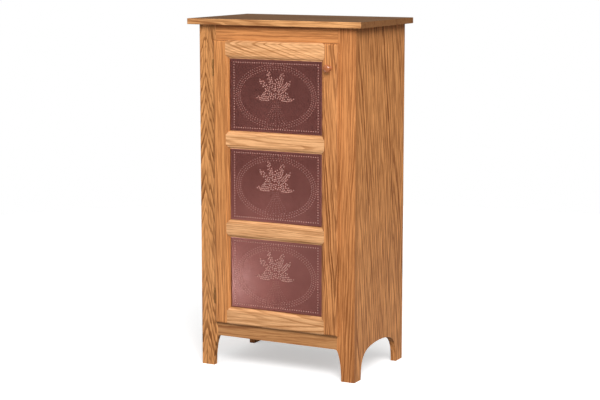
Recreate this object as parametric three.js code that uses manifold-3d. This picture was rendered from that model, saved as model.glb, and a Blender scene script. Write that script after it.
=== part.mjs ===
// Pie safe: a tall oak cupboard with one door of three punched copper panels.
// Millimetres, +Z up. The front faces -Y and the feet stand on z = 0.
// Inside the cabinet group, y = 0 is the front of the face frame and x = 0 is the middle.

import * as THREE from 'three';
import { mergeVertices } from 'three/addons/utils/BufferGeometryUtils.js';
import Module from 'manifold-3d';

const wasm = await Module();
wasm.setup();

// Cabinet body
const BODY_W = 566;
const BODY_D = 375;
const BODY_H = 1137;
const BOARD_T = 19;
const GLUE = 0.1;              // a glued or resting joint
const EPS = 1;                 // a cutting body runs past the wood by this much
const CUT_GAP = 0.3;           // room left round a piece that is cut to fit another
const ARRIS = 1.2;             // softened edge of a sawn board

// Top board
const TOP_SIDE_OVERHANG = 30;
const TOP_FRONT_OVERHANG = 28;

// Face frame and feet
const FRAME_STILE_W = 62;
const FRAME_TOP_RAIL_W = 54;
const FRAME_BOTTOM_RAIL_W = 52;
const FOOT_CUT_H = 104;
const FRONT_FOOT_W = 46.5;
const FRONT_FOOT_BEND = 70;    // height to which the front foot's inner edge heads straight up
const FOOT_EASE_W = 9;         // the foot curve runs on into the bottom rail by this much
const FOOT_EASE_H = 3;
const SIDE_FOOT_W = 49.5;
const SIDE_FOOT_BEND = 84;
const SIDE_CUT_MIDDLE = 190;   // where the side's cut is level, from the front
const SIDE_CUT_PULL = 80;
const SIDE_CUT_DIP = 3;

// Back and inside
const BACK_T = 6;
const BACK_RABBET_W = 9.5;
const BACK_SHORT = 1;          // the back and its lower nailer stop short of the next board by this much
const DADO_D = 6;
const NAILER_W = 60;
const CLEAT = 19;
const CLEAT_SETBACK = 10;
const CLEAT_SHORT = 40;        // the cleats stop short of the nailer by this much
const SCREW_FROM_END = 40;
const SHELF_D = 330;
const SHELF_PLAY = 2;          // room at each end of a shelf
const SHELF_SETBACK = 3;
const PIN_HOLE_R = 2.5;
const PIN_HOLE_D = 10;
const PIN_PITCH = 32;
const PIN_REACH = 9;
const PIN_SETBACK = 45;
const PIN_FROM_BACK = 15;      // the back pins' distance from a shelf's back edge

// Door
const DOOR_W = 454;
const DOOR_H = 939;
const DOOR_BOTTOM = 148.5;
const DOOR_T = 19;
const DOOR_PROUD = 12;
const LIP_T = 9.7;             // thickness of the lip that laps over the face frame
const LIP_W = 9.2;
const DOOR_ROUND = 8;
const STICK_W = 11.4;          // moulded edge round each panel
const STICK_QUIRK = 1.2;
const STICK_DEPTH = 7.2;
const STICK_OVOLO_W = 8.4;
const PANEL_SIGHT_W = 336.6;
const PANEL_SIGHT_H = 235;
const PANEL_RABBET_W = 9.5;
const PANEL_RABBET_AT = 9.5;   // depth from the door's face to the seat of the panel
const COPPER_T = 0.8;
const STOP_W = 8;
const STOP_SET_IN = 0.5;       // the stops stay this far inside the door's back
const STOP_ROUND = 4;
const ARC_STEPS = 6;

// Door fittings
const KNOB_X = 198;
const KNOB_Z = 1010;
const KNOB_REACH = 28;
const KNOB_PILOT_D = 15;
const KNOB_SCREW_R = 2;
const HINGE_X = 8.9;           // pin's distance outside the opening's edge
const HINGE_Y = 2.8;           // pin's distance in front of the face frame
const HINGE_L = 50;
const HINGE_FROM_END = 90;
const KNUCKLE_R = 2.4;
const KNUCKLE_BORE_R = 1.4;
const PIN_R = 1.2;
const LEAF_T = 0.8;
const LEAF_RELIEF = 0.35;      // room between a leaf's flat and the knuckle
const KNUCKLE_HALF = 8.4;
const KNUCKLE_PLAY = 0.2;
const DOOR_LEAF_W = 26;
const FRAME_LEAF_SHORT = 3;    // the frame leaf stops this far inside the frame's back

// Worked out from the sizes above
const HALF_W = BODY_W / 2;
const OPENING_HALF_W = HALF_W - FRAME_STILE_W;
const OPENING_BOTTOM = FOOT_CUT_H + FRAME_BOTTOM_RAIL_W;
const DOOR_STILE_W = (DOOR_W - PANEL_SIGHT_W) / 2;
const DOOR_RAIL_W = (DOOR_H - 3 * PANEL_SIGHT_H) / 4;
const INNER_HALF_W = HALF_W - BOARD_T;
const BACK_Y = BODY_D - BACK_T;

const OAK = 0xc98f57;
const PALE_OAK = 0xd8b07c;
const RAIL_OAK = 0xe2ae78;
const DARK_OAK = 0x6b4a30;
const STAINED_BIRCH = 0x8a4f30;
const FELT = 0xd8d2c4;
const MOULDING = 0x5a4432;
const COPPER = 0x7a4a42;
const BRASS = 0x8a6a3c;
const STEEL = 0x9a9c9e;

function oak(colour = OAK) {
  return new THREE.MeshStandardMaterial({ color: colour, roughness: 0.45, metalness: 0 });
}

function metal(colour, roughness = 0.4) {
  return new THREE.MeshStandardMaterial({ color: colour, roughness, metalness: 1 });
}

// ---- making and cutting solids ----

const outline = (points) => new THREE.Shape(points.map(([a, b]) => new THREE.Vector2(a, b)));

// Each extrusion runs from zero along its axis; the outline lies in the other two axes.
const AXES = {
  x: new THREE.Matrix4().set(0, 0, 1, 0, 1, 0, 0, 0, 0, 1, 0, 0, 0, 0, 0, 1),
  y: new THREE.Matrix4().set(1, 0, 0, 0, 0, 0, -1, 0, 0, 1, 0, 0, 0, 0, 0, 1),
  z: new THREE.Matrix4(),
};

function extrude(shape, length, axis, start = 0, curveSegments = 8) {
  const geometry = new THREE.ExtrudeGeometry(shape, { depth: length, bevelEnabled: false, curveSegments });
  geometry.applyMatrix4(AXES[axis]);
  const shift = { x: [start, 0, 0], y: [0, start + length, 0], z: [0, 0, start] }[axis];
  return geometry.translate(...shift);
}

function block(x0, x1, y0, y1, z0, z1) {
  const geometry = new THREE.BoxGeometry(x1 - x0, y1 - y0, z1 - z0);
  return geometry.translate((x0 + x1) / 2, (y0 + y1) / 2, (z0 + z1) / 2);
}

function rod(radius, axis, start, length, at, sides = 12) {
  const geometry = new THREE.CylinderGeometry(radius, radius, length, sides);
  if (axis === 'x') geometry.rotateZ(Math.PI / 2);
  if (axis === 'z') geometry.rotateX(Math.PI / 2);
  const middle = start + length / 2;
  const place = { x: [middle, at[0], at[1]], y: [at[0], middle, at[1]], z: [at[0], at[1], middle] }[axis];
  return geometry.translate(...place);
}

// A hole's flats, not its corners, lie on the stated radius, so a round pin of that radius fits.
function hole(radius, axis, start, length, at, sides = 12) {
  return rod(radius / Math.cos(Math.PI / sides), axis, start, length, at, sides);
}

function solid(geometry) {
  const bare = geometry.clone();
  bare.deleteAttribute('normal');
  bare.deleteAttribute('uv');
  const merged = mergeVertices(bare, 1e-5);
  return new wasm.Manifold(new wasm.Mesh({
    numProp: 3,
    vertProperties: new Float32Array(merged.attributes.position.array),
    triVerts: new Uint32Array(merged.index.array),
  }));
}

function geometryOf(manifold) {
  const mesh = manifold.getMesh();
  const geometry = new THREE.BufferGeometry();
  geometry.setAttribute('position', new THREE.BufferAttribute(new Float32Array(mesh.vertProperties), 3));
  geometry.setIndex(new THREE.BufferAttribute(new Uint32Array(mesh.triVerts), 1));
  geometry.computeVertexNormals();
  return geometry;
}

function cut(geometry, ...tools) {
  return geometryOf(tools.reduce((body, tool) => body.subtract(solid(tool)), solid(geometry)));
}

function common(a, b) {
  return geometryOf(solid(a).intersect(solid(b)));
}

function place(group, name, geometry, material, position = [0, 0, 0]) {
  const mesh = new THREE.Mesh(geometry, material);
  mesh.name = name;
  mesh.position.set(...position);
  group.add(mesh);
}

// A board of three sizes with a small chamfer on its long edges, centred on its own middle.
function board(width, depth, height, chamfer = ARRIS) {
  const w = width / 2 - chamfer;
  const h = height / 2 - chamfer;
  const shape = outline([[-w, -h], [w, -h], [w, h], [-w, h]]);
  const geometry = new THREE.ExtrudeGeometry(shape, {
    depth: depth - 2 * chamfer,
    bevelEnabled: true,
    bevelThickness: chamfer,
    bevelSize: chamfer,
    bevelSegments: 1,
  });
  geometry.translate(0, 0, chamfer - depth / 2);
  return geometry.applyMatrix4(AXES.y);
}

function turned(profile, sides) {
  return new THREE.LatheGeometry(profile.map(([r, h]) => new THREE.Vector2(r, h)), sides);
}

const cabinet = new THREE.Group();
cabinet.position.y = -(BODY_D - DOOR_PROUD - KNOB_REACH - GLUE) / 2;

// ---- side panels: glued-up boards, rabbeted for the back and sawn away between two feet ----

const shelfHeights = [1, 2].map((n) => DOOR_BOTTOM + n * (DOOR_RAIL_W + PANEL_SIGHT_H) + DOOR_RAIL_W / 2);
const pinRows = [PIN_SETBACK, SHELF_D - PIN_FROM_BACK];

function pinHeight(shelfMiddle) {
  return shelfMiddle - BOARD_T / 2 - PIN_HOLE_R - GLUE;
}

function sideOutline() {
  const shape = new THREE.Shape();
  const front = BOARD_T + GLUE;
  const backFoot = BODY_D - SIDE_FOOT_W;
  const nearTop = FOOT_CUT_H - SIDE_CUT_DIP;
  shape.moveTo(front, 0);
  shape.lineTo(SIDE_FOOT_W, 0);
  shape.bezierCurveTo(SIDE_FOOT_W, SIDE_FOOT_BEND, SIDE_CUT_PULL, nearTop, SIDE_CUT_MIDDLE, FOOT_CUT_H);
  shape.bezierCurveTo(BODY_D - SIDE_CUT_PULL, nearTop, backFoot, SIDE_FOOT_BEND, backFoot, 0);
  shape.lineTo(BODY_D, 0);
  shape.lineTo(BODY_D, BODY_H - GLUE);
  shape.lineTo(front, BODY_H - GLUE);
  return shape;
}

for (const side of [-1, 1]) {
  const inner = side * INNER_HALF_W;
  const slab = extrude(sideOutline(), BOARD_T, 'x', side < 0 ? -HALF_W : INNER_HALF_W);
  const into = (depth, y0, y1, z0, z1) => {
    const far = inner + side * depth;
    const near = inner - side * EPS;
    return block(Math.min(near, far), Math.max(near, far), y0, y1, z0, z1);
  };
  const rabbetFront = BACK_Y - CUT_GAP;
  const backRabbet = into(BACK_RABBET_W, rabbetFront, BODY_D + EPS, FOOT_CUT_H - EPS, BODY_H + EPS);
  const dadoLow = OPENING_BOTTOM - BOARD_T - GLUE;
  const dado = into(DADO_D, BOARD_T - EPS, rabbetFront, dadoLow, OPENING_BOTTOM + GLUE);
  const pinHoles = shelfHeights.flatMap((height) => pinRows.flatMap((y) => [-1, 0, 1].map((step) => {
    const start = side < 0 ? inner - PIN_HOLE_D : inner - EPS;
    const at = [y, pinHeight(height) + step * PIN_PITCH];
    return hole(PIN_HOLE_R, 'x', start, PIN_HOLE_D + EPS, at, 8);
  })));
  const name = side < 0 ? 'side_panel_left' : 'side_panel_right';
  place(cabinet, name, cut(slab, backRabbet, dado, ...pinHoles), oak());
}

// ---- face frame: two stiles that end in feet, with a rail between them at top and bottom ----

function frameStileOutline() {
  const shape = new THREE.Shape();
  shape.moveTo(0, 0);
  shape.lineTo(FRONT_FOOT_W, 0);
  shape.quadraticCurveTo(FRONT_FOOT_W, FRONT_FOOT_BEND, FRAME_STILE_W, FOOT_CUT_H - FOOT_EASE_H);
  shape.lineTo(FRAME_STILE_W, BODY_H - GLUE);
  shape.lineTo(0, BODY_H - GLUE);
  return shape;
}

const stileBlank = extrude(frameStileOutline(), BOARD_T, 'y');
const pastStile = FRAME_STILE_W + EPS;
const cornerOutline = outline([[ARRIS, 0], [pastStile, 0], [pastStile, BOARD_T], [0, BOARD_T], [0, ARRIS]]);
const softCorner = extrude(cornerOutline, BODY_H, 'z');
const frameStile = solid(stileBlank).intersect(solid(softCorner));

place(cabinet, 'frame_stile_left', geometryOf(frameStile), oak(), [-HALF_W, 0, 0]);
place(cabinet, 'frame_stile_right', geometryOf(frameStile.mirror([1, 0, 0])), oak(), [HALF_W, 0, 0]);

const railHalf = OPENING_HALF_W - GLUE;
const topRail = block(-railHalf, railHalf, 0, BOARD_T, BODY_H - FRAME_TOP_RAIL_W, BODY_H - GLUE);
place(cabinet, 'frame_top_rail', topRail, oak());

function bottomRailOutline() {
  const low = FOOT_CUT_H - FOOT_EASE_H;
  const shape = new THREE.Shape();
  shape.moveTo(-railHalf, low);
  shape.quadraticCurveTo(-railHalf + FOOT_EASE_W / 3, FOOT_CUT_H, -railHalf + FOOT_EASE_W, FOOT_CUT_H);
  shape.lineTo(railHalf - FOOT_EASE_W, FOOT_CUT_H);
  shape.quadraticCurveTo(railHalf - FOOT_EASE_W / 3, FOOT_CUT_H, railHalf, low);
  shape.lineTo(railHalf, OPENING_BOTTOM);
  shape.lineTo(-railHalf, OPENING_BOTTOM);
  return shape;
}
place(cabinet, 'frame_bottom_rail', extrude(bottomRailOutline(), BOARD_T, 'y', 0, 4), oak());

// ---- top board with its two screwed cleats ----

const topW = BODY_W + 2 * TOP_SIDE_OVERHANG;
const topD = BODY_D + TOP_FRONT_OVERHANG;
const cleatLength = BACK_Y - 2 * BOARD_T - CLEAT_SHORT;
const cleatFront = BOARD_T + CLEAT_SETBACK;
const cleatX = INNER_HALF_W - GLUE - CLEAT / 2;
const screwRows = [cleatFront + SCREW_FROM_END, cleatFront + cleatLength - SCREW_FROM_END];
const screwSpots = [-1, 1].flatMap((side) => screwRows.map((y) => [side * cleatX, y]));
const SCREW = { shank: 2, head: 4, headH: 2, length: 30, rim: 0.5, point: 3, sides: 10 };
const screwFoot = BODY_H - GLUE - CLEAT;

function screwHole(spot) {
  return hole(SCREW.shank + CUT_GAP, 'z', screwFoot - EPS, SCREW.length + 2 * EPS, spot, SCREW.sides);
}

const topBlank = board(topW, topD, BOARD_T);
topBlank.translate(0, (BODY_D - TOP_FRONT_OVERHANG) / 2, BODY_H + BOARD_T / 2);
place(cabinet, 'top_board', cut(topBlank, ...screwSpots.map(screwHole)), oak(DARK_OAK));

for (const side of [-1, 1]) {
  const [left, right] = [side * cleatX - CLEAT / 2, side * cleatX + CLEAT / 2];
  const cleat = block(left, right, cleatFront, cleatFront + cleatLength, screwFoot, BODY_H - GLUE);
  const holes = screwSpots.filter(([x]) => x * side > 0).map(screwHole);
  place(cabinet, side < 0 ? 'top_cleat_left' : 'top_cleat_right', cut(cleat, ...holes), oak());
}

const screwProfile = [
  [0, -SCREW.headH],
  [SCREW.head, -SCREW.headH],
  [SCREW.head - SCREW.rim, -GLUE],
  [SCREW.shank, -GLUE],
  [SCREW.shank, SCREW.length - SCREW.point],
  [0, SCREW.length],
];
screwSpots.forEach(([x, y], n) => {
  const screw = turned(screwProfile, SCREW.sides).rotateX(Math.PI / 2);
  place(cabinet, `top_screw_${n + 1}`, screw, metal(STEEL), [x, y, screwFoot]);
});

// ---- bottom board, back panel and the two nailers that hold the back ----

const dadoHalf = INNER_HALF_W + DADO_D - CUT_GAP;
const bottomFront = BOARD_T + GLUE;
const bottomBack = BACK_Y - 2 * CUT_GAP;
const bottomLow = OPENING_BOTTOM - BOARD_T;
const bottomBoard = block(-dadoHalf, dadoHalf, bottomFront, bottomBack, bottomLow, OPENING_BOTTOM);
place(cabinet, 'bottom_board', bottomBoard, oak());

const backHalf = INNER_HALF_W + BACK_RABBET_W - CUT_GAP;
const backPanel = block(-backHalf, backHalf, BACK_Y, BODY_D, FOOT_CUT_H, BODY_H - BACK_SHORT);
place(cabinet, 'back_panel', backPanel, oak(PALE_OAK));

function nailer(low, high) {
  const half = INNER_HALF_W - GLUE;
  const back = BACK_Y - CUT_GAP;
  return block(-half, half, back - BOARD_T, back, low, high);
}
place(cabinet, 'back_nailer_top', nailer(BODY_H - GLUE - NAILER_W, BODY_H - GLUE), oak());
place(cabinet, 'back_nailer_bottom', nailer(FOOT_CUT_H, bottomLow - BACK_SHORT), oak());

// ---- two adjustable shelves on turned pins ----

const COLLAR = { r: 4, start: 0.2, end: 1.2 };
const pinProfile = [
  [0, -PIN_REACH],
  [PIN_HOLE_R - GLUE, -PIN_REACH],
  [PIN_HOLE_R - GLUE, COLLAR.start],
  [COLLAR.r, COLLAR.start],
  [COLLAR.r, COLLAR.end],
  [PIN_HOLE_R, COLLAR.end],
  [PIN_HOLE_R, PIN_REACH],
  [0, PIN_REACH],
];
const shelfW = 2 * (INNER_HALF_W - SHELF_PLAY);
const shelfMiddleY = BOARD_T + SHELF_SETBACK + SHELF_D / 2;
shelfHeights.forEach((height, n) => {
  place(cabinet, `shelf_${n + 1}`, board(shelfW, SHELF_D, BOARD_T), oak(), [0, shelfMiddleY, height]);
  for (const side of [-1, 1]) {
    pinRows.forEach((y, row) => {
      const pin = turned(pinProfile, 8).rotateZ(side * Math.PI / 2);
      const name = `shelf_${n + 1}_pin_${side < 0 ? 'left' : 'right'}_${row ? 'back' : 'front'}`;
      place(cabinet, name, pin, metal(STEEL), [side * INNER_HALF_W, y, pinHeight(height)]);
    });
  }
});

// ---- door: stiles and rails with a rounded outer lip and a moulded inner edge ----
// In the door group x runs from the left edge, y back from the face, z up from the bottom edge.

const door = new THREE.Group();
door.position.set(-DOOR_W / 2, -DOOR_PROUD, DOOR_BOTTOM);
cabinet.add(door);

// Edge profiles as [distance in from the edge, depth from the face], from the back to the front.
const quarter = [...Array(ARC_STEPS + 1).keys()].map((n) => n / ARC_STEPS * Math.PI / 2);
const outerEdge = [
  [LIP_W, DOOR_T],
  [LIP_W, LIP_T],
  [0, LIP_T],
  ...quarter.map((a) => [DOOR_ROUND * (1 - Math.cos(a)), DOOR_ROUND * (1 - Math.sin(a))]),
];
const ovoloDepth = STICK_DEPTH - STICK_QUIRK;
const innerEdge = [
  [PANEL_RABBET_W, DOOR_T],
  [PANEL_RABBET_W, PANEL_RABBET_AT],
  [0, PANEL_RABBET_AT],
  [0, STICK_DEPTH],
  ...quarter.map((a) => [STICK_W - STICK_OVOLO_W * Math.cos(a), STICK_DEPTH - ovoloDepth * Math.sin(a)]),
  [STICK_W, 0],
];

function memberSection(edgeA, edgeB, width) {
  return [...edgeA, ...edgeB.toReversed().map(([d, v]) => [width - d, v])];
}

function across(points) {
  return points.map(([d, v]) => [v, d]);
}

function mirrorStile(geometry) {
  return geometryOf(solid(geometry).mirror([1, 0, 0]).translate([DOOR_W, 0, 0]));
}

const endSection = across(memberSection(outerEdge, outerEdge, DOOR_H));
const doorBlank = extrude(outline(endSection), DOOR_STILE_W + 2 * EPS, 'x', -EPS);
const stileSection = memberSection(outerEdge, innerEdge, DOOR_STILE_W);
const doorStile = common(extrude(outline(stileSection), DOOR_H, 'z'), doorBlank);

const knobAt = [DOOR_W / 2 + KNOB_X, KNOB_Z - DOOR_BOTTOM];
const knobHole = hole(KNOB_SCREW_R + CUT_GAP, 'y', -EPS, DOOR_T + 2 * EPS, knobAt);
place(door, 'door_stile_left', doorStile, oak());
place(door, 'door_stile_right', cut(mirrorStile(doorStile), knobHole), oak());

// The rails' ends are coped over the stiles' moulded edges.
const copeTools = [-CUT_GAP, CUT_GAP].flatMap((lift) => {
  const grown = extrude(outline(stileSection), DOOR_H, 'z').translate(CUT_GAP, lift, 0);
  return [grown, mirrorStile(grown)];
});
const railStart = DOOR_STILE_W - STICK_W + CUT_GAP;
const railNames = ['bottom', 'lower', 'upper', 'top'];
railNames.forEach((name, n) => {
  const low = n === 0 ? outerEdge : innerEdge;
  const high = n === 3 ? outerEdge : innerEdge;
  const section = across(memberSection(low, high, DOOR_RAIL_W));
  const bar = extrude(outline(section), DOOR_W - 2 * railStart, 'x', railStart);
  bar.translate(0, 0, n * (DOOR_RAIL_W + PANEL_SIGHT_H));
  place(door, `door_rail_${name}`, cut(bar, ...copeTools), oak(RAIL_OAK));
});

// ---- punched copper panels, each held from behind by four wooden stops ----

const panelNames = ['bottom', 'middle', 'top'];
const rabbetHalfW = PANEL_SIGHT_W / 2 + PANEL_RABBET_W;
const rabbetHalfH = PANEL_SIGHT_H / 2 + PANEL_RABBET_W;
const copperFront = PANEL_RABBET_AT + GLUE;
const stopFront = copperFront + COPPER_T + GLUE;
const stopD = DOOR_T - stopFront - STOP_SET_IN;
const sheetPlay = 1;

// A stop's section: square, with the corner that shows from behind rounded off.
function stopOutline(axis, sign) {
  const points = [
    [0, 0],
    [STOP_W, 0],
    [STOP_W, stopD - STOP_ROUND],
    [STOP_W - ARRIS, stopD - ARRIS],
    [STOP_W - STOP_ROUND, stopD],
    [0, stopD],
  ];
  return outline(points.map(([d, v]) => (axis === 'z' ? [-sign * d, v] : [v, -sign * d])));
}

panelNames.forEach((name, n) => {
  const panel = new THREE.Group();
  panel.position.set(DOOR_W / 2, 0, DOOR_RAIL_W + PANEL_SIGHT_H / 2 + n * (DOOR_RAIL_W + PANEL_SIGHT_H));
  door.add(panel);
  const sheetHalf = [rabbetHalfW - sheetPlay, rabbetHalfH - sheetPlay];
  const sheet = new THREE.BoxGeometry(2 * sheetHalf[0], COPPER_T, 2 * sheetHalf[1]);
  place(panel, `copper_panel_${name}`, sheet, metal(COPPER, 0.35), [0, copperFront + COPPER_T / 2, 0]);

  const longHalf = rabbetHalfW - CUT_GAP;
  for (const [end, sign] of [['low', -1], ['high', 1]]) {
    const bar = extrude(stopOutline('x', sign), 2 * longHalf, 'x', -longHalf);
    place(panel, `${name}_stop_${end}`, bar, oak(), [0, stopFront, sign * (rabbetHalfH - CUT_GAP)]);
  }
  const shortHalf = rabbetHalfH - STOP_W - 2 * CUT_GAP;
  for (const [end, sign] of [['left', -1], ['right', 1]]) {
    const bar = extrude(stopOutline('z', sign), 2 * shortHalf, 'z', -shortHalf);
    place(panel, `${name}_stop_${end}`, bar, oak(), [sign * longHalf, stopFront, 0]);
  }
});

// ---- turned mushroom knob, screwed from behind ----

// Radius and height above the door of each turned ring, from the foot through the neck to the crown.
const knobProfile = [
  [0, 0], [8, 0], [8.4, 1.2], [6.4, 3.4], [5.2, 7.5], [6, 12],
  [9.5, 15], [12.4, 18], [13, 20.5], [12.2, 23.4], [9.6, 25.8], [5.4, 27.4], [0, KNOB_REACH],
];
const pilot = hole(KNOB_SCREW_R + CUT_GAP, 'y', -EPS, KNOB_PILOT_D + EPS, [0, 0]);
const knob = cut(turned(knobProfile, 24), pilot).rotateX(Math.PI).translate(0, -GLUE, 0);
place(door, 'knob', knob, oak(STAINED_BIRCH), [knobAt[0], 0, knobAt[1]]);

const HEAD = { r: 4, rim: 1.4, h: 3, top: 3 };
const knobScrewReach = DOOR_T + KNOB_PILOT_D - KNOB_SCREW_R;
const knobScrewProfile = [
  [0, -HEAD.h],
  [HEAD.top, -HEAD.h],
  [HEAD.r, -HEAD.rim],
  [HEAD.r, -GLUE],
  [KNOB_SCREW_R, -GLUE],
  [KNOB_SCREW_R, knobScrewReach - KNOB_SCREW_R],
  [0, knobScrewReach],
];
const knobScrew = turned(knobScrewProfile, 12).rotateX(Math.PI);
place(door, 'knob_screw', knobScrew, metal(STEEL), [knobAt[0], DOOR_T, knobAt[1]]);

// ---- two wrap-round butt hinges: the leaves fold into the opening and behind the door ----
// A hinge is drawn with x = 0 at the opening's left edge, y = 0 at the face frame's front and z = 0
// at the hinge's middle.

const leafStart = -HINGE_X + KNUCKLE_R + LEAF_RELIEF;
const leafRoot = leafStart + GLUE;
const backOfLip = LIP_T - DOOR_PROUD;
const backOfDoor = DOOR_T - DOOR_PROUD;
const overlay = DOOR_W / 2 - OPENING_HALF_W;
const doorBodyX = LIP_W - overlay;
const axisSpot = [-HINGE_X, -HINGE_Y];

function knuckle(low, high) {
  const sleeve = solid(rod(KNUCKLE_R, 'z', low, high - low, axisSpot));
  return sleeve.subtract(solid(hole(KNUCKLE_BORE_R, 'z', low - EPS, high - low + 2 * EPS, axisSpot)));
}

function welded(...pieces) {
  return geometryOf(pieces.reduce((whole, piece) => whole.add(piece)));
}

const leafHalf = HINGE_L / 2;
const slotHalf = KNUCKLE_HALF + KNUCKLE_PLAY;
const frameLeafY = [-GLUE - LEAF_T, -GLUE];
const frameLeaf = welded(
  knuckle(-leafHalf, -slotHalf),
  knuckle(slotHalf, leafHalf),
  solid(block(leafStart, GLUE + LEAF_T, ...frameLeafY, -leafHalf, leafHalf)),
  solid(block(GLUE, GLUE + LEAF_T, frameLeafY[0], BOARD_T - FRAME_LEAF_SHORT, -leafHalf, leafHalf)),
  solid(block(-HINGE_X, leafRoot, ...frameLeafY, slotHalf, leafHalf)),
  solid(block(-HINGE_X, leafRoot, ...frameLeafY, -leafHalf, -slotHalf)),
);

// The door leaf leaves its knuckle behind the lip, turns back along the door's body and then behind it.
const doorLeafY = [backOfLip + GLUE, backOfLip + GLUE + LEAF_T];
const doorLeafX = [doorBodyX - GLUE - LEAF_T, doorBodyX - GLUE];
const behindDoor = [backOfDoor + GLUE, backOfDoor + GLUE + LEAF_T];
const knuckleRoot = -HINGE_X + KNUCKLE_BORE_R + GLUE;
const doorLeaf = welded(
  knuckle(-KNUCKLE_HALF, KNUCKLE_HALF),
  solid(block(leafStart, doorLeafX[1], ...doorLeafY, -leafHalf, leafHalf)),
  solid(block(...doorLeafX, doorLeafY[0], behindDoor[1], -leafHalf, leafHalf)),
  solid(block(doorLeafX[0], doorBodyX + DOOR_LEAF_W, ...behindDoor, -leafHalf, leafHalf)),
  solid(block(knuckleRoot, leafRoot, ...doorLeafY, -KNUCKLE_HALF, KNUCKLE_HALF)),
);

// The pin is upset into a low dome at each end.
const DOME = { r: 1.6, ease: 1.6, h: 2 };
const pinEnd = [
  [PIN_R, leafHalf + GLUE],
  [KNUCKLE_R, leafHalf + GLUE],
  [DOME.r, leafHalf + DOME.ease],
  [0, leafHalf + DOME.h],
];
const hingePinProfile = [...pinEnd.toReversed().map(([r, h]) => [r, -h]), ...pinEnd];

const hingeHeights = { low: DOOR_BOTTOM + HINGE_FROM_END, high: DOOR_BOTTOM + DOOR_H - HINGE_FROM_END };
for (const [name, height] of Object.entries(hingeHeights)) {
  const at = [-OPENING_HALF_W, 0, height];
  place(cabinet, `hinge_${name}_frame_leaf`, frameLeaf.clone(), metal(BRASS), at);
  place(cabinet, `hinge_${name}_door_leaf`, doorLeaf.clone(), metal(BRASS), at);
  const pin = turned(hingePinProfile, 12).rotateX(Math.PI / 2);
  place(cabinet, `hinge_${name}_pin`, pin, metal(BRASS), [at[0] - HINGE_X, -HINGE_Y, height]);
}

// ---- magnetic catch inside the frame's right stile, its strike plate, and two bumpers on the lip ----

const CATCH = { w: 15, d: 20, h: 48, z: 620 };
const STRIKE = { w: 12, t: 1.2, h: 36, inset: 3 };
const BUMPER = { r: 2.4, t: 2, fromEnd: 30 };
const catchX = OPENING_HALF_W - GLUE - CATCH.w / 2;
const strikeFront = backOfDoor + GLUE;
const catchY = strikeFront + STRIKE.t + CUT_GAP + CATCH.d / 2;
const catchCase = board(CATCH.w, CATCH.d, CATCH.h, 1);
place(cabinet, 'magnetic_catch', catchCase, metal(MOULDING, 0.6), [catchX, catchY, CATCH.z]);

const strike = new THREE.BoxGeometry(STRIKE.w, STRIKE.t, STRIKE.h);
const strikeAt = [catchX - STRIKE.inset, strikeFront + STRIKE.t / 2, CATCH.z];
place(cabinet, 'strike_plate', strike, metal(STEEL), strikeAt);

const bumperX = OPENING_HALF_W + overlay / 2;
const bumperHeights = { low: DOOR_BOTTOM + BUMPER.fromEnd, high: DOOR_BOTTOM + DOOR_H - BUMPER.fromEnd };
for (const [name, z] of Object.entries(bumperHeights)) {
  const bumper = rod(BUMPER.r, 'y', backOfLip + GLUE, BUMPER.t, [0, 0]);
  place(cabinet, `bumper_${name}`, bumper, oak(FELT), [bumperX, 0, z]);
}

export default cabinet;
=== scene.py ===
# Pie safe: a tall oak cupboard with one door of three punched copper panels.
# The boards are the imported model's own solids in their real materials. The punched sheets, the
# turned knob and the small screws are made here, in metres, in the same frame.
import math
import random

import bmesh
import bpy
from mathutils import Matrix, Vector
from mathutils.geometry import delaunay_2d_cdt


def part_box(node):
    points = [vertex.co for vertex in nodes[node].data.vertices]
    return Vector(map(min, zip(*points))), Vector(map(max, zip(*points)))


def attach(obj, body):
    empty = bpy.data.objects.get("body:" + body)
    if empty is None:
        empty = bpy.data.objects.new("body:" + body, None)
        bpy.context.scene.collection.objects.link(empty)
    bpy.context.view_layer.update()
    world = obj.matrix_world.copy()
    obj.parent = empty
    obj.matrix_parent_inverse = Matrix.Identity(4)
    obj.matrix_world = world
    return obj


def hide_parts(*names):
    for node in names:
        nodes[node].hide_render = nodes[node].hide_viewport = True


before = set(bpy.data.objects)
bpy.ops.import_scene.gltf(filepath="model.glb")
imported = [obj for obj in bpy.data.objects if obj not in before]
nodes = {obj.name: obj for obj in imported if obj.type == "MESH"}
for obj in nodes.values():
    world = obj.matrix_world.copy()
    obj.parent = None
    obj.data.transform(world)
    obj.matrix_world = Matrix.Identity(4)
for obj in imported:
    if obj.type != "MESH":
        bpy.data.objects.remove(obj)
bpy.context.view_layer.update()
MM = 0.001

# ---------------------------------------------------------------- side panels
# Two panels of 19 mm plain-sawn red oak, glued up edge to edge from boards about 94 mm wide,
# planed flush, sawn away between two feet, stained honey and given satin varnish.


def srgb(code):
    """An sRGB hex colour as the linear numbers that the shader works in."""
    steps = [int(code[i:i + 2], 16) / 255 for i in (1, 3, 5)]
    return tuple(c / 12.92 if c <= 0.04045 else ((c + 0.055) / 1.055) ** 2.4 for c in steps) + (1.0,)


def new_material(name):
    """An empty material: its node tree and the socket that takes the finished surface."""
    material = bpy.data.materials.new(name)
    material.use_nodes = True
    material.node_tree.nodes.clear()
    out = material.node_tree.nodes.new("ShaderNodeOutputMaterial")
    return material, material.node_tree, out.inputs["Surface"]


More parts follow.
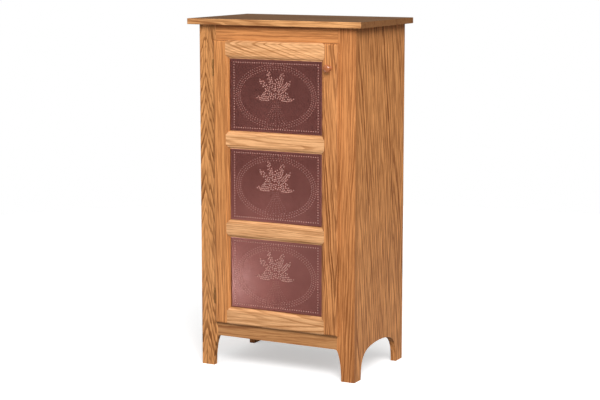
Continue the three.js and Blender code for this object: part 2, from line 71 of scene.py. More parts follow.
def add(tree, kind, inputs=None, stops=(), **settings):
    """Adds one node, sets it up and links its inputs. A node given as an input means its first
    output, and a colour ramp's stops are (position, grey level or colour)."""
    made = tree.nodes.new("ShaderNode" + kind)
    for key, value in settings.items():
        setattr(made, key, value)
    for key, value in (inputs or {}).items():
        if isinstance(value, bpy.types.Node):
            value = value.outputs[0]
        if isinstance(value, bpy.types.NodeSocket):
            tree.links.new(value, made.inputs[key])
        else:
            made.inputs[key].default_value = value
    for _ in stops[2:]:
        made.color_ramp.elements.new(0.5)
    for number, (position, value) in enumerate(stops):
        made.color_ramp.elements[number].position = position
        made.color_ramp.elements[number].color = value if isinstance(value, tuple) else (value,) * 3 + (1.0,)
    return made


def oak(node, along, face, light, dark, ring=8.0, heart=(0, 40), taper=0.03, bend=14, jag=3, coarse=1.0,
        start=0, strength=0.9, sheen=0.42, glued=None, upper=1.0):
    """Stained and varnished red oak on one board. The year rings are shells round the tree's heart
    that taper as the trunk does: sawn near the heart they show tall arches, and far off stripes.
    along and face are the axes that the board runs along and faces, and heart says where the heart
    lies across and behind the board's middle in mm. Real rings are 2 to 3 mm wide and pores 0.3 mm.
    They are drawn ring mm and 1 to 4 mm wide, times coarse, and the taper steeper, so that they show."""
    material, tree, surface = new_material(f"varnished oak, {node}")
    middle = (Vector(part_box(node)[0]) + Vector(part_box(node)[1])) / 2
    place = add(tree, "TexCoord")
    from_middle = add(tree, "VectorMath", {0: place.outputs["Object"], 1: middle}, operation="SUBTRACT")
    axes = add(tree, "SeparateXYZ", {0: from_middle})
    other = ({"x", "y", "z"} - {along, face}).pop()
    run, width, depth = (axes.outputs["xyz".index(axis)] for axis in (along, other, face))
    spot = add(tree, "CombineXYZ", {0: run, 1: width, 2: depth})
    spot = add(tree, "VectorMath", {0: spot, 1: (1000, 1000, 1000)}, operation="MULTIPLY")
    if glued:
        # Each glued board comes from another part of the tree and has its own tone.
        breadth = add(tree, "SeparateXYZ", {0: spot}).outputs[1]
        number = add(tree, "Math", {0: breadth, 1: glued}, operation="DIVIDE")
        number = add(tree, "Math", {0: number}, operation="FLOOR")
        seed = add(tree, "Math", {0: number, 1: start})
        draw = add(tree, "TexWhiteNoise", {"W": seed}, noise_dimensions="1D")
        jump = add(tree, "VectorMath", {0: draw.outputs["Color"], 1: (3000, 50, 45)}, operation="MULTIPLY")
        step = add(tree, "CombineXYZ", {1: add(tree, "Math", {0: number, 1: -glued}, operation="MULTIPLY")})
        spot = add(tree, "VectorMath", {0: spot, 1: step}, operation="ADD")
        spot = add(tree, "VectorMath", {0: spot, 1: jump}, operation="ADD")
        board_tone = add(tree, "ValToRGB", {0: draw.outputs["Value"]}, stops=[(0.0, 0.93), (1.0, 1.05)])
    spot = add(tree, "VectorMath", {0: spot, 1: (start, -heart[0], heart[1])}, operation="ADD")

    def noise(scale, detail=2.0):
        scale = (scale[0], scale[1] / coarse, scale[2] / coarse)
        stretched = add(tree, "VectorMath", {0: spot, 1: scale}, operation="MULTIPLY")
        return add(tree, "TexNoise", {"Vector": stretched, "Scale": 1.0, "Detail": detail})

    def swayed(to, scale, reach):
        off = noise(scale).outputs["Color"]
        off = add(tree, "VectorMath", {0: off, 1: (0.5, 0.5, 0.5)}, operation="SUBTRACT")
        off = add(tree, "VectorMath", {0: off, 1: (0, reach, reach)}, operation="MULTIPLY")
        return add(tree, "VectorMath", {0: to, 1: off}, operation="ADD")

    # Slow bends of the trunk, the waver of each ring, and its frayed edge.
    bent = swayed(spot, (0.0020, 0.008, 0.008), 2 * bend)
    bent = swayed(bent, (0.010, 0.045, 0.045), 5.0)
    bent = swayed(bent, (0.05, 0.40, 0.40), 1.6)
    part = add(tree, "SeparateXYZ", {0: bent})
    from_heart = add(tree, "CombineXYZ", {1: part.outputs[1], 2: part.outputs[2]})
    radius = add(tree, "VectorMath", {0: from_heart}, operation="LENGTH").outputs["Value"]
    radius = add(tree, "Math", {0: part.outputs[0], 1: taper, 2: radius}, operation="MULTIPLY_ADD")
    # Flutes in the trunk give the arches their jagged peaks, one inside the other.
    flutes = noise((0.003, 0.12, 0.12), 1.0)
    radius = add(tree, "Math", {0: flutes, 1: jag, 2: radius}, operation="MULTIPLY_ADD")
    # Good and bad years make wide and narrow rings, and some rings take much more stain than others.
    season = add(tree, "Math", {0: radius, 1: 0.09}, operation="MULTIPLY")
    year = add(tree, "TexNoise", {"W": season, "Scale": 1.0}, noise_dimensions="1D")
    count = add(tree, "Math", {0: year, 1: 12.0, 2: radius}, operation="MULTIPLY_ADD")
    count = add(tree, "Math", {0: count, 1: ring * coarse}, operation="DIVIDE")
    phase = add(tree, "Math", {0: count}, operation="FRACT")
    whole = add(tree, "Math", {0: count}, operation="FLOOR")
    drawn = add(tree, "TexWhiteNoise", {"W": whole}, noise_dimensions="1D").outputs["Value"]
    depth_of_stain = add(tree, "ValToRGB", {0: drawn}, stops=[(0.0, 0.25), (0.4, 0.65), (1.0, 1.0)])
    # Each ring starts with a row of open pores, dark with stain, and fades into dense pale wood.
    early = add(tree, "ValToRGB", {0: phase}, stops=[(0.0, 0.4), (0.07, 1.0), (0.32, 0.85), (0.46, 0.20),
                                                     (0.90, 0.0), (1.0, 0.4)])
    stripe = add(tree, "Math", {0: early, 1: depth_of_stain}, operation="MULTIPLY")
    vigour = noise((0.004, 0.03, 0.03), 1.0)
    vigour = add(tree, "ValToRGB", {0: vigour}, stops=[(0.34, 0.55), (0.60, 1.0)])
    stripe = add(tree, "Math", {0: stripe, 1: vigour}, operation="MULTIPLY")
    fibre = noise((0.010, 0.24, 0.24), 3.0)
    fibre = add(tree, "ValToRGB", {0: fibre}, stops=[(0.42, 0.0), (0.62, 1.0)])
    pores = noise((0.05, 0.9, 0.9), 2.0)
    pores = add(tree, "ValToRGB", {0: pores}, stops=[(0.50, 0.0), (0.68, 1.0)])
    specks = add(tree, "Math", {0: stripe, 1: 0.7, 2: 0.30}, operation="MULTIPLY_ADD")
    specks = add(tree, "Math", {0: specks, 1: pores}, operation="MULTIPLY")
    mixed = add(tree, "Math", {0: stripe, 1: strength}, operation="MULTIPLY")
    colour = add(tree, "MixRGB", {"Fac": mixed, "Color1": srgb(light), "Color2": srgb(dark)})
    streak = add(tree, "Math", {0: fibre, 1: 0.55 * strength}, operation="MULTIPLY")
    colour = add(tree, "MixRGB", {"Fac": streak, "Color1": colour, "Color2": srgb(dark)})
    filled = add(tree, "Math", {0: specks, 1: 0.5 * strength}, operation="MULTIPLY")
    colour = add(tree, "MixRGB", {"Fac": filled, "Color1": colour, "Color2": srgb("#6E3D1C")})
    cloud = noise((0.0016, 0.012, 0.012), 1.0)
    cloud = add(tree, "ValToRGB", {0: cloud}, stops=[(0.3, 0.92), (0.7, 1.06)])
    colour = add(tree, "MixRGB", {0: 1.0, 1: colour, 2: cloud}, blend_type="MULTIPLY")
    if glued:
        colour = add(tree, "MixRGB", {0: 1.0, 1: colour, 2: board_tone}, blend_type="MULTIPLY")
    # Sawn ends drink more stain than faces do.
    facing = add(tree, "SeparateXYZ", {0: place.outputs["Normal"]})
    end = add(tree, "Math", {0: facing.outputs["xyz".index(along)]}, operation="ABSOLUTE")
    end = add(tree, "ValToRGB", {0: end}, stops=[(0.75, 0.0), (0.95, 0.62)])
    colour = add(tree, "MixRGB", {"Fac": end, "Color1": colour, "Color2": srgb("#5A3218")})
    if upper != 1.0:
        # Painted shade: the face that looks up is drawn darker, by the factor upper.
        painted_top_shade = add(tree, "ValToRGB", {0: facing.outputs[2]}, stops=[(0.80, 1.0), (0.98, upper)])
        colour = add(tree, "MixRGB", {0: 1.0, 1: colour, 2: painted_top_shade}, blend_type="MULTIPLY")
    rough = add(tree, "Math", {0: specks, 1: 0.2, 2: sheen}, operation="MULTIPLY_ADD")
    relief = add(tree, "Math", {0: stripe, 1: -0.35}, operation="MULTIPLY")
    relief = add(tree, "Math", {0: relief, 1: specks}, operation="SUBTRACT")
    bump = add(tree, "Bump", {"Height": relief, "Strength": 0.35, "Distance": 0.2 * MM})
    wood = add(tree, "BsdfPrincipled", {"Base Color": colour, "Roughness": rough, "IOR": 1.45,
                                        "Specular IOR Level": 0.25, "Normal": bump})
    tree.links.new(wood.outputs[0], surface)
    cover(node, material)


def cover(node, material):
    """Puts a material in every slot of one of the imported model's nodes."""
    mesh = nodes[node].data
    mesh.materials.clear()
    mesh.materials.append(material)


for side, depth, start in (("left", 20, 40), ("right", 24, 7)):
    oak(f"side_panel_{side}", "z", "x", "#E8A062", "#763C14", ring=9.0, glued=94, heart=(-10, depth),
        taper=0.12, jag=7, coarse=1.5, start=start, strength=1.0)

# ---------------------------------------------------------------- face frame
# Two stiles that end in feet and two rails between them, 19 mm oak, doweled, glued and sanded flush.
# The left stile was sawn close to the heart of the log and shows strong arches.
oak("frame_stile_left", "z", "y", "#E4A062", "#744014", ring=12.0, heart=(-11, 14), taper=0.26, bend=7,
    jag=14, strength=1.0)
oak("frame_stile_right", "z", "y", "#D28C53", "#7C441C", heart=(60, 50))
oak("frame_top_rail", "x", "y", "#E39A5C", "#84491F", heart=(50, 70), start=2100)
oak("frame_bottom_rail", "x", "y", "#CC935E", "#84491F", heart=(30, 40), start=3300, strength=0.8)

# ---------------------------------------------------------------- top board
# A 19 mm glued oak board with square edges, which overhangs the front and both sides.
# Its grain runs across the cupboard, so its left and right edges are dark end grain.
# Painted shade: its upward face is drawn darker (upper=0.4).
oak("top_board", "x", "z", "#E2A66C", "#82481E", glued=96, heart=(0, 20), taper=0.06, start=700, upper=0.4)

# ---------------------------------------------------------------- inside boards
# Bottom board, shelves, nailers and cleats are plainer oak with one thin coat of varnish.
for number, node in enumerate(("bottom_board", "shelf_1", "shelf_2")):
    oak(node, "x", "z", "#D9A873", "#9A6534", glued=110, start=500 * number, strength=0.6, sheen=0.5)
for number, node in enumerate(("back_nailer_top", "back_nailer_bottom")):
    oak(node, "x", "y", "#D9A873", "#9A6534", start=900 * number, strength=0.6, sheen=0.5)
for node in ("top_cleat_left", "top_cleat_right"):
    oak(node, "y", "z", "#D9A873", "#9A6534", strength=0.5, sheen=0.5)

# ---------------------------------------------------------------- back panel
# 6 mm oak-faced plywood in the sides' rabbets, rotary cut, so its figure is broad and soft.
oak("back_panel", "z", "y", "#DDB484", "#B98A55", ring=12.0, heart=(0, 60), taper=0.10, bend=60,
    strength=0.6, sheen=0.55)

# ---------------------------------------------------------------- door frame
# Stiles and rails of 19 mm oak, coped and stuck with an ovolo, the outer edge rounded to a lip.
oak("door_stile_left", "z", "y", "#E0985A", "#7C4318", ring=7.0, heart=(-50, 40), start=2600)
oak("door_stile_right", "z", "y", "#D69158", "#68340E", heart=(24, 20), taper=-0.08, start=300, strength=1.0)
RAIL_FIGURE = {"top": dict(ring=10.0, heart=(22, 8), taper=-0.30, bend=8),
               "upper": dict(ring=11.0, heart=(-8, 20), taper=0.05, bend=30),
               "lower": dict(ring=7.0, heart=(-60, 30), bend=14),
               "bottom": dict(ring=17.0, heart=(4, 7), taper=0.12, bend=34, strength=1.0)}
for number, (place_name, figure) in enumerate(RAIL_FIGURE.items()):
    oak(f"door_rail_{place_name}", "x", "y", "#EFB681", "#9C602C", start=1300 * number, **figure)
for place_name in ("top", "middle", "bottom"):
    for edge in ("low", "high"):
        oak(f"{place_name}_stop_{edge}", "x", "y", "#DDB07C", "#9A6534", strength=0.5, sheen=0.5)
    for edge in ("left", "right"):
        oak(f"{place_name}_stop_{edge}", "z", "y", "#DDB07C", "#9A6534", strength=0.5, sheen=0.5)

# ---------------------------------------------------------------- punched copper panels
# Sheets of 0.6 mm copper, chemically darkened to a brown patina and then punched from behind over a
# pattern: a dotted border, an oval of staggered dots and a sheaf of wheat. The punch stretches each
# dot into a small dome and cracks the patina off its tip, so bare copper shows there. The tips' bright
# pink is partly that copper and partly a painted highlight that stands in for the glints on the domes.
SHEET_T = 0.6
SHEET_BACK = 0.7          # the flat sheet's face lies this far behind the rabbet's seat
PILLOW = 0.5
BORDER_X, BORDER_Z = 153, 106
OVAL_X, OVAL_Z = 146, 102
OVAL_ROWS = (0, 8, 15)    # how far each row of the oval lies inside the first
DOT_PITCH = 8.5
GRAIN_L, GRAIN_W = 3.0, 2.1
EAR_L = 42
EAR_HALF_W = 6.6
EAR_ROW = 6.4             # pitch of the grains along an ear
STRAW_ROWS = 13
STRAW_PITCH = 5.8
GAP = 1.3                 # punches stand at least this many times the sum of their half widths apart
sheet_low, sheet_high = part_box("copper_panel_top")
sheet_w = (sheet_high.x - sheet_low.x) / MM
sheet_h = (sheet_high.z - sheet_low.z) / MM
draws = random.Random(7)
# A punch's tip shine is bare copper and painted highlight; a rim shine below nought is painted shade.
punches = []              # (x, z, half length, half width, turn, height, shine of the tip, of the rim)


def punch(x, z, wide=2.0, long=None, turn=0.0, tall=0.6, tip=1.0, rim=-0.05):
    if all(math.hypot(x - other[0], z - other[1]) > GAP * (wide + other[3]) for other in punches):
        punches.append((x, z, long or wide, wide, turn, tall, tip, rim))


def wheat_ear(lean, reach):
    """Grains in three staggered columns, each leaning out from the stalk, and one at the ear's tip."""
    way = Vector((math.sin(lean), math.cos(lean)))
    side = Vector((way.y, -way.x))
    heading = math.atan2(way.y, way.x)
    punch(*(SHEAF + way * reach), 1.7, GRAIN_L, heading, 0.6, 1.0, -0.6)
    rows = round(EAR_L / EAR_ROW)
    for row in range(rows):
        half = EAR_HALF_W * math.sin(math.pi * (0.30 + 0.50 * row / rows))
        for hand in (-1, 0, 1):
            up = reach - EAR_L + (row + 0.5 * (hand == 0)) * EAR_L / rows + draws.uniform(-0.8, 0.8)
            grain = SHEAF + way * up + side * (hand * half + draws.uniform(-0.6, 0.6))
            punch(*grain, GRAIN_W, GRAIN_L, heading - hand * 0.6, 0.6, draws.uniform(0.8, 1.0), -0.6)


# The sheaf: six ears stand out, and the grains of the ears behind and in front fill the fan between.
SHEAF = Vector((0.0, -8.0))
for lean, reach in ((-88, 68), (-43, 84), (-18, 93), (18, 87), (42, 78), (88, 65)):
    wheat_ear(math.radians(lean), reach)
for attempt in range(700):
    lean = math.radians(draws.uniform(-98, 98))
    fan = 48 + 18 * math.cos(lean) - 14 * math.sin(2 * lean) ** 2
    reach = fan * math.sqrt(draws.random())
    x, z = SHEAF + Vector((math.sin(lean), math.cos(lean))) * reach
    turn = math.pi / 2 - lean + draws.uniform(-0.7, 0.7)
    punch(x, z, GRAIN_W, GRAIN_L - 0.1, turn, 0.6, draws.uniform(0.8, 1.0), -0.6)
# The straws narrow to the tie under the ears and then spread to the ground.
for straw in range(-3, 4):
    for step in range(STRAW_ROWS):
        z = -18 - STRAW_PITCH * step
        spread = 3.2 + 12.5 * (max(0.0, -26 - z) / 64) ** 1.2
        punch(straw * spread, z, 1.3, tall=0.4, tip=0.35)

# Dotted border near the sight edge.
for across in (False, True):
    half_run, off = (BORDER_X, BORDER_Z) if across else (BORDER_Z, BORDER_X)
    dots = round(2 * half_run / DOT_PITCH)
    for step in range(dots + 1):
        run = -half_run + step * 2 * half_run / dots
        for edge in (-off, off):
            punch(*((run, edge) if across else (edge, run)))
# Three staggered rows of short slanted dashes make the oval.
for row, inset in enumerate(OVAL_ROWS):
    half_w, half_h = OVAL_X - inset, OVAL_Z - inset
    dots = round(math.pi * (half_w + half_h) / DOT_PITCH)
    for step in range(dots):
        angle = 2 * math.pi * (step + 0.5 * (row % 2)) / dots
        punch(half_w * math.cos(angle), half_h * math.sin(angle), 1.4, 2.4, angle + 0.7, 0.5, 0.5)

# The sheet is a net of triangles through the punches and a coarse grid between them. Each punch has
# a flat collar, and a point that falls on another punch is left out. A thin sheet is never quite
# flat: it pillows by half a millimetre between its stops.
RINGS = ((0.0, 1, 1.0, 1.0), (0.78, 7, 0.45, 1.0), (1.0, 9, 0.0, 0.1), (1.35, 9, 0.0, 0.0))
COLLAR = RINGS[-1][0]
COLUMNS, ROWS = 28, 20
REACH = 8      # no punch with its collar reaches further than this
flat, rise, shine = [], [], []


def on_a_punch(x, z, others, swell):
    """True where (x, z) falls inside one of the punches, each taken as swell times its size."""
    for other in others:
        along = (x - other[0]) * math.cos(other[4]) + (z - other[1]) * math.sin(other[4])
        across = (z - other[1]) * math.cos(other[4]) - (x - other[0]) * math.sin(other[4])
        if math.hypot(along / other[2], across / other[3]) < swell:
            return True
    return False


def sheet_point(x, z, high, bare_and_glint):
    flat.append(Vector((x, z)))
    rise.append(high)
    shine.append(bare_and_glint)


for mark in punches:
    x, z, long, wide, turn, tall, tip, rim = mark
    near = [other for other in punches
            if other is not mark and math.hypot(x - other[0], z - other[1]) < REACH]
    for part, corners, high, bare_and_glint in RINGS:
        for corner in range(corners):
            angle = 2 * math.pi * corner / corners
            u, v = long * part * math.cos(angle), wide * part * math.sin(angle)
            px = x + u * math.cos(turn) - v * math.sin(turn)
            pz = z + u * math.sin(turn) + v * math.cos(turn)
            if part < 1 or not on_a_punch(px, pz, near, 1.1):
                sheet_point(px, pz, tall * high, tip * bare_and_glint + rim * (part == 1))
for column in range(COLUMNS + 1):
    for row in range(ROWS + 1):
        x = sheet_w * (column / COLUMNS - 0.5)
        z = sheet_h * (row / ROWS - 0.5)
        if not on_a_punch(x, z, punches, COLLAR + 0.1):
            sheet_point(x, z, 0.0, 0.0)
net = delaunay_2d_cdt(flat, [], [], 0, 0.0001, True)
points, triangles, origin = net[0], net[2], net[3]


def punched_sheet(name, node):
    low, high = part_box(node)
    made = bmesh.new()
    bare_and_glint = made.verts.layers.float.new("bare_copper")
    for point, sources in zip(points, origin):
        slack = PILLOW * math.cos(point.x * math.pi / sheet_w) * math.cos(point.y * math.pi / sheet_h)
        vertex = made.verts.new((point.x * MM, -(rise[sources[0]] + slack) * MM, point.y * MM))
        vertex[bare_and_glint] = 0.5 + 0.5 * shine[sources[0]]
    made.verts.ensure_lookup_table()
    for corners in triangles:
        made.faces.new([made.verts[corner] for corner in corners])
    bmesh.ops.solidify(made, geom=made.faces[:], thickness=SHEET_T * MM)
    bmesh.ops.recalc_face_normals(made, faces=made.faces)
    mesh = bpy.data.meshes.new(name)
    made.to_mesh(mesh)
    made.free()
    mesh.shade_smooth()
    piece = bpy.data.objects.new(name, mesh)
    piece.location = ((low.x + high.x) / 2, low.y + SHEET_BACK * MM, (low.z + high.z) / 2)
    bpy.context.scene.collection.objects.link(piece)
    return piece


def patinated_copper(name):
    """Copper sheet, darkened with liver of sulphur and lacquered: brown-plum, soft gloss, with cloudy
    patches from the wiping, and rolling lines too fine to see alone, so they are drawn 2 mm apart."""
    material, tree, surface = new_material(name)
    place = add(tree, "TexCoord").outputs["Object"]
    cloud = add(tree, "TexNoise", {"Vector": place, "Scale": 9.0, "Detail": 3.0})
    patch = add(tree, "ValToRGB", {0: cloud}, stops=[(0.35, srgb("#BB6A5F")), (0.65, srgb("#C77469"))])
    # Painted highlight: the tips are painted a bright pale pink, partly bare copper, partly standing in for
    # glints.
    punched = add(tree, "Attribute", attribute_name="bare_copper").outputs["Fac"]
    tip = add(tree, "ValToRGB", {0: punched}, stops=[(0.55, 0.0), (0.85, 1.0)])
    # Painted shade: darker round the foot of each punch, most in the gaps between the sheaf's grains.
    painted_valley_shade = add(tree, "ValToRGB", {0: punched}, stops=[(0.10, 0.9), (0.48, 0.0)])
    colour = add(tree, "MixRGB", {"Fac": painted_valley_shade, "Color1": patch, "Color2": srgb("#5E2620")})
    colour = add(tree, "MixRGB", {"Fac": tip, "Color1": colour, "Color2": srgb("#FFC0B0")})
    # The tips are cracked and matt: they scatter light, so their painted pink shows, where the lacquered
    # flats mirror the room.
    mirror = add(tree, "Math", {0: tip, 1: -0.9, 2: 1.0}, operation="MULTIPLY_ADD")
    stretched = add(tree, "VectorMath", {0: place, 1: (12, 1, 500)}, operation="MULTIPLY")
    rolling = add(tree, "TexNoise", {"Vector": stretched, "Scale": 1.0, "Detail": 2.0})
    rough = add(tree, "Math", {0: rolling, 1: 0.08, 2: 0.29}, operation="MULTIPLY_ADD")
    bump = add(tree, "Bump", {"Height": rolling, "Strength": 0.06, "Distance": 0.2 * MM})
    metal = add(tree, "BsdfPrincipled", {"Base Color": colour, "Metallic": mirror, "Roughness": rough,
                                         "Coat Weight": 1.0, "Coat IOR": 1.7, "Coat Roughness": 0.18,
                                         "Normal": bump})
    tree.links.new(metal.outputs[0], surface)
    return material


copper = patinated_copper("patinated copper sheet")
for place_name in ("top", "middle", "bottom"):
    sheet = punched_sheet(f"punched_sheet_{place_name}", f"copper_panel_{place_name}")
    sheet.data.materials.append(copper)
    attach(sheet, "door")
    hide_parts(f"copper_panel_{place_name}")

# ---------------------------------------------------------------- knob
# A turned birch mushroom knob, stained red-brown and polished, held by a screw through the stile.


def turned_birch(name):
    """Close-grained birch under a dark stain and a polished coat: only a clouded grain shows."""
    material, tree, surface = new_material(name)
    place = add(tree, "TexCoord").outputs["Object"]
    stretched = add(tree, "VectorMath", {0: place, 1: (500, 40, 500)}, operation="MULTIPLY")
    grain = add(tree, "TexNoise", {"Vector": stretched, "Scale": 1.0, "Detail": 3.0})
    colour = add(tree, "ValToRGB", {0: grain}, stops=[(0.35, srgb("#8C4722")), (0.65, srgb("#B56A36"))])
    bump = add(tree, "Bump", {"Height": grain, "Strength": 0.1, "Distance": 0.1 * MM})
    wood = add(tree, "BsdfPrincipled", {"Base Color": colour, "Roughness": 0.3, "IOR": 1.5, "Normal": bump,
                                        "Coat Weight": 0.5, "Coat Roughness": 0.12})
    tree.links.new(wood.outputs[0], surface)
    return material


def turned(name, profile, centre, steps=40):
    """A turned piece: (radius, reach) points in mm spun about a line that runs forward from centre."""
    made = bmesh.new()
    rings = []
    for radius, reach in profile:
        ring = []
        for step in range(steps if radius else 1):
            turn = 2 * math.pi * step / steps
            across, up = radius * math.cos(turn), radius * math.sin(turn)
            ring.append(made.verts.new((across * MM, -reach * MM, up * MM)))
        rings.append(ring)
    for lower, upper in zip(rings, rings[1:]):
        for step in range(steps):
            corners = [ring[step % len(ring)] for ring in (lower, upper)]
            ahead = [ring[(step + 1) % len(ring)] for ring in (upper, lower)]
            made.faces.new(dict.fromkeys(corners + ahead))
    bmesh.ops.recalc_face_normals(made, faces=made.faces)
    mesh = bpy.data.meshes.new(name)
    made.to_mesh(mesh)
    made.free()
    mesh.shade_smooth()
    piece = bpy.data.objects.new(name, mesh)
    piece.location = centre
    bpy.context.scene.collection.objects.link(piece)
    return piece


knob_low, knob_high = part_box("knob")
knob_base = Vector(((knob_low.x + knob_high.x) / 2, knob_high.y, (knob_low.z + knob_high.z) / 2))
knob_reach = (knob_high.y - knob_low.y) / MM
knob_profile = [(0, 0), (7.6, 0), (8.4, 0.4), (8.5, 1.4), (7.6, 2.4), (6.3, 3.6), (5.4, 5.6), (5.2, 8.0),
                (5.6, 10.6), (7.0, 13.2), (9.4, 15.6), (11.6, 17.6), (12.8, 19.6), (13.0, 21.2),
                (12.5, 23.0), (11.0, 24.8), (8.6, 26.3), (5.6, 27.4), (2.8, 27.9), (0, knob_reach)]
knob = turned("turned_knob", knob_profile, knob_base)
knob.data.materials.append(turned_birch("turned birch"))
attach(knob, "door")
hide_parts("knob")

# ---------------------------------------------------------------- hinges and small metal
# Wrap-round hinges of pressed brass with an antique finish; screws, pins and strike are zinc plated.


def small_metal(name, pale, deep, rough):
    """Plated pressings: an even colour with cloudy wear, fine scratches and a soft gloss."""
    material, tree, surface = new_material(name)
    place = add(tree, "TexCoord").outputs["Object"]
    cloud = add(tree, "TexNoise", {"Vector": place, "Scale": 140.0, "Detail": 4.0})
    colour = add(tree, "ValToRGB", {0: cloud}, stops=[(0.35, srgb(deep)), (0.65, srgb(pale))])
    worn = add(tree, "Math", {0: cloud, 1: 0.25, 2: rough}, operation="MULTIPLY_ADD")
    bump = add(tree, "Bump", {"Height": cloud, "Strength": 0.1, "Distance": 0.1 * MM})
    metal = add(tree, "BsdfPrincipled", {"Base Color": colour, "Metallic": 1.0, "Roughness": worn,
                                         "Normal": bump})
    tree.links.new(metal.outputs[0], surface)
    return material


brass = small_metal("antique brass", "#A07C48", "#6E5026", 0.25)
zinc = small_metal("zinc-plated steel", "#C4C4C2", "#9FA1A2", 0.22)
for name in nodes:
    if name.startswith("hinge_"):
        cover(name, brass)
    elif "screw" in name or "_pin_" in name or name == "strike_plate":
        cover(name, zinc)

# A screw head from its seat to its recess, as (share of its radius, share of its height, how far a
# cross of four arms draws in). The heads stand a little proud, as hand-driven screws do.
HEAD_RINGS = ((1.0, -0.5, 0.0), (1.0, 0.5, 0.0), (0.84, 0.9, 0.0), (0.62, 1.0, 0.0),
              (0.56, 1.0, 0.65), (0.46, 0.2, 0.65))
HEAD_STEPS = 24


def heads(name, spots, facing, body, radius, height):
    """The heads of the screws that hold one piece, all in one mesh, in the frame's own places."""
    made = bmesh.new()
    lean = Vector(facing).to_track_quat("Z", "Y")
    for spot in spots:
        loops = []
        for share, lift, cross in HEAD_RINGS:
            loop = []
            for step in range(HEAD_STEPS):
                turn = 2 * math.pi * step / HEAD_STEPS
                out = radius * share * (1 - cross * abs(math.sin(2 * turn)))
                point = Vector((out * math.cos(turn), out * math.sin(turn), height * lift)) * MM
                loop.append(made.verts.new(lean @ point + Vector(spot)))
            loops.append(loop)
        for lower, upper in zip(loops, loops[1:]):
            for step in range(HEAD_STEPS):
                after = (step + 1) % HEAD_STEPS
                made.faces.new((lower[step], lower[after], upper[after], upper[step]))
        made.faces.new(loops[0][::-1])
        made.faces.new(loops[-1])
    bmesh.ops.recalc_face_normals(made, faces=made.faces)
    mesh = bpy.data.meshes.new(name)
    made.to_mesh(mesh)
    made.free()
    mesh.materials.append(zinc)
    piece = bpy.data.objects.new(name, mesh)
    bpy.context.scene.collection.objects.link(piece)
    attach(piece, body)


# Three screws hold each leaf: the frame's from inside the opening, the door's from behind.
SCREW_PITCH = 17 * MM
SCREW_HEAD_R = 2.3
FRAME_INSET = Vector((0, -3.6, 0)) * MM    # from a leaf's far edge to its row of screws
DOOR_INSET = Vector((-12, 0, 0)) * MM
for place_name in ("low", "high"):
    for leaf, body, facing in (("frame", "cabinet", (1, 0, 0)), ("door", "door", (0, 1, 0))):
        low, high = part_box(f"hinge_{place_name}_{leaf}_leaf")
        inset = FRAME_INSET if leaf == "frame" else DOOR_INSET
        middle = Vector((high.x, high.y, (low.z + high.z) / 2)) + inset
        spots = [middle + Vector((0, 0, step * SCREW_PITCH)) for step in (-1, 0, 1)]
        heads(f"hinge_{place_name}_{leaf}_leaf_screws", spots, facing, body, SCREW_HEAD_R, 0.5)
low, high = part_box("strike_plate")
spots = [((low.x + high.x) / 2, high.y, (low.z + high.z) / 2)]
heads("strike_plate_screw", spots, (0, 1, 0), "door", SCREW_HEAD_R, 0.2)

# Two brads hold each wooden stop, driven near its outer edge.
BRAD_IN = 2.5 * MM
BRAD_HEAD_R = 0.9
for place_name in ("top", "middle", "bottom"):
    for edge in ("low", "high", "left", "right"):
        low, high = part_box(f"{place_name}_stop_{edge}")
        spots = []
        for share in (0.2, 0.8):
            spot = low.lerp(high, share)
            spot.y = high.y
            if edge in ("low", "high"):
                spot.z = low.z + BRAD_IN if edge == "low" else high.z - BRAD_IN
            else:
                spot.x = low.x + BRAD_IN if edge == "left" else high.x - BRAD_IN
            spots.append(spot)
        heads(f"{place_name}_stop_{edge}_brads", spots, (0, 1, 0), "door", BRAD_HEAD_R, 0.2)

# ---------------------------------------------------------------- magnetic catch and bumpers
# A brown moulded ABS case holds the magnet; two round felt bumpers quiet the door.


def moulded_abs(name, code):
    """Injection-moulded ABS with a fine spark-eroded grain."""
    material, tree, surface = new_material(name)
    place = add(tree, "TexCoord").outputs["Object"]
    grain = add(tree, "TexNoise", {"Vector": place, "Scale": 900.0, "Detail": 2.0})
    colour = add(tree, "ValToRGB", {0: grain}, stops=[(0.3, srgb(code)), (0.8, srgb("#6A4A34"))])
    bump = add(tree, "Bump", {"Height": grain, "Strength": 0.3, "Distance": 0.1 * MM})
    plastic = add(tree, "BsdfPrincipled", {"Base Color": colour, "Roughness": 0.5, "IOR": 1.53,
                                           "Normal": bump})
    tree.links.new(plastic.outputs[0], surface)
    return material


def pressed_felt(name, code):
    """Pressed wool felt: matt, with a fuzz of fibres about 0.3 mm across."""
    material, tree, surface = new_material(name)
    place = add(tree, "TexCoord").outputs["Object"]
    fuzz = add(tree, "TexNoise", {"Vector": place, "Scale": 2500.0, "Detail": 3.0})
    colour = add(tree, "ValToRGB", {0: fuzz}, stops=[(0.3, srgb(code)), (0.7, srgb("#E6DFD0"))])
    bump = add(tree, "Bump", {"Height": fuzz, "Strength": 0.6, "Distance": 0.2 * MM})
    felt = add(tree, "BsdfPrincipled", {"Base Color": colour, "Roughness": 0.95, "Sheen Weight": 0.3,
                                        "Normal": bump})
    tree.links.new(felt.outputs[0], surface)
    return material


cover("magnetic_catch", moulded_abs("moulded ABS", "#4A3022"))
low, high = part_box("magnetic_catch")
middle = (low + high) / 2
spots = [Vector((low.x, middle.y, middle.z + side * SCREW_PITCH)) for side in (-1, 1)]
heads("magnetic_catch_screws", spots, (-1, 0, 0), "cabinet", 2.6, 0.9)
for name in ("bumper_low", "bumper_high"):
    cover(name, pressed_felt("pressed felt", "#C9C0AE"))

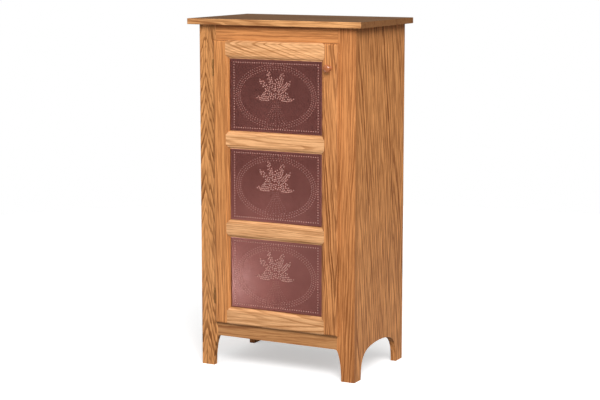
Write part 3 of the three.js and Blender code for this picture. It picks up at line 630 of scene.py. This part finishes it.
# ---------------------------------------------------------------- room
# A round white floor that glows a little, as seamless paper does under its own lights. A large soft
# lamp stands ahead on the right with a broad fill, and a small low box ahead on the left puts the
# sheen on the bottom panel. The room is grey, and darker behind the cupboard.
FLOOR_R = 3.4
FLOOR_STEPS = 96
GLOW = 0.45
floor_mesh = bpy.data.meshes.new("floor")
rim = [2 * math.pi * step / FLOOR_STEPS for step in range(FLOOR_STEPS)]
floor_mesh.from_pydata([(FLOOR_R * math.cos(turn), FLOOR_R * math.sin(turn), 0) for turn in rim], [],
                       [range(FLOOR_STEPS)])
floor = bpy.data.objects.new("floor", floor_mesh)
bpy.context.scene.collection.objects.link(floor)
paper, paper_tree, paper_surface = new_material("white paper")
# The paper shows white, but sends less light back to the cupboard, and most of that from
# a painted pool of light ahead on the left, which only reflections see.
rays = add(paper_tree, "LightPath").outputs
across = add(paper_tree, "SeparateXYZ", {0: add(paper_tree, "TexCoord").outputs["Object"]})
across = add(paper_tree, "MapRange", {0: across, 1: -1.6, 2: -0.4})
painted_light_pool = add(paper_tree, "ValToRGB", {0: across}, stops=[(0.45, 1.0), (0.8, 0.5)])
tint = add(paper_tree, "MixRGB", {0: rays["Is Glossy Ray"], 1: srgb("#747474"), 2: painted_light_pool})
tint = add(paper_tree, "MixRGB", {0: rays["Is Camera Ray"], 1: tint, 2: srgb("#F8F8F8")})
glow = add(paper_tree, "Math", {0: rays["Is Camera Ray"], 1: GLOW}, operation="MULTIPLY")
sheet_of_paper = add(paper_tree, "BsdfPrincipled", {"Base Color": tint, "Roughness": 0.9,
                                                    "Emission Strength": glow,
                                                    "Emission Color": srgb("#FFFFFF")})
paper_tree.links.new(sheet_of_paper.outputs[0], paper_surface)
floor_mesh.materials.append(paper)


LAMPS_AIM = Vector((0, 0, 0.8))


def lamp(name, kind, way, power, **settings):
    """A light that shines from way; a lamp of kind AREA also stands there."""
    data = bpy.data.lights.new(name, kind)
    data.energy = power
    for key, value in settings.items():
        setattr(data, key, value)
    made = bpy.data.objects.new(name, data)
    made.location = way
    made.rotation_euler = (Vector(way) - LAMPS_AIM).to_track_quat("Z", "Y").to_euler()
    bpy.context.scene.collection.objects.link(made)


lamp("key", "AREA", (1.7, -2.8, 2.5), 92, shape="DISK", size=1.5)
lamp("fill", "SUN", (1.8, -1.1, 2.2), 0.9, angle=math.radians(50))
lamp("low box", "AREA", (-0.76, -1.02, 0.07), 0.6, shape="RECTANGLE", size=0.3, size_y=0.14)

world = bpy.data.worlds.new("room")
world.use_nodes = True
bpy.context.scene.world = world
room = world.node_tree
room.nodes.clear()
seen = add(room, "LightPath").outputs["Is Camera Ray"]
way = add(room, "SeparateXYZ", {0: add(room, "TexCoord").outputs["Generated"]})
height = add(room, "MapRange", {0: way.outputs[2], 1: -1.0, 2: 1.0})
sky = add(room, "ValToRGB", {0: height}, stops=[(0.44, 0.36), (0.52, 0.40), (0.64, 0.66), (1.0, 1.10)])
behind = add(room, "MapRange", {0: way.outputs[1], 1: -1.0, 2: 1.0})
ahead = add(room, "ValToRGB", {0: behind}, stops=[(0.35, 1.0), (0.60, 0.25)])
sky = add(room, "MixRGB", {0: 1.0, 1: sky, 2: ahead}, blend_type="MULTIPLY")
shade = add(room, "MixRGB", {0: seen, 1: sky, 2: (1.0, 1.0, 1.0, 1.0)})
back = add(room, "Background", {"Color": shade, "Strength": 1.0})
room_out = room.nodes.new("ShaderNodeOutputWorld")
room.links.new(back.outputs[0], room_out.inputs[0])

# The camera stands to the front right, a little above the cupboard's top.
azimuth, elevation, distance = math.radians(27.52), math.radians(8.857), 5.49
aim = Vector((0, 0, 0.553))
camera_data = bpy.data.cameras.new("camera")
camera_data.sensor_width = 36
camera_data.lens = 99.0
camera = bpy.data.objects.new("camera", camera_data)
toward = Vector((-math.sin(azimuth) * math.cos(elevation), math.cos(azimuth) * math.cos(elevation),
                 -math.sin(elevation)))
camera.location = aim - toward * distance
camera.rotation_euler = toward.to_track_quat("-Z", "Y").to_euler()
bpy.context.scene.collection.objects.link(camera)
bpy.context.scene.camera = camera
bpy.context.scene.view_settings.view_transform = "Standard"
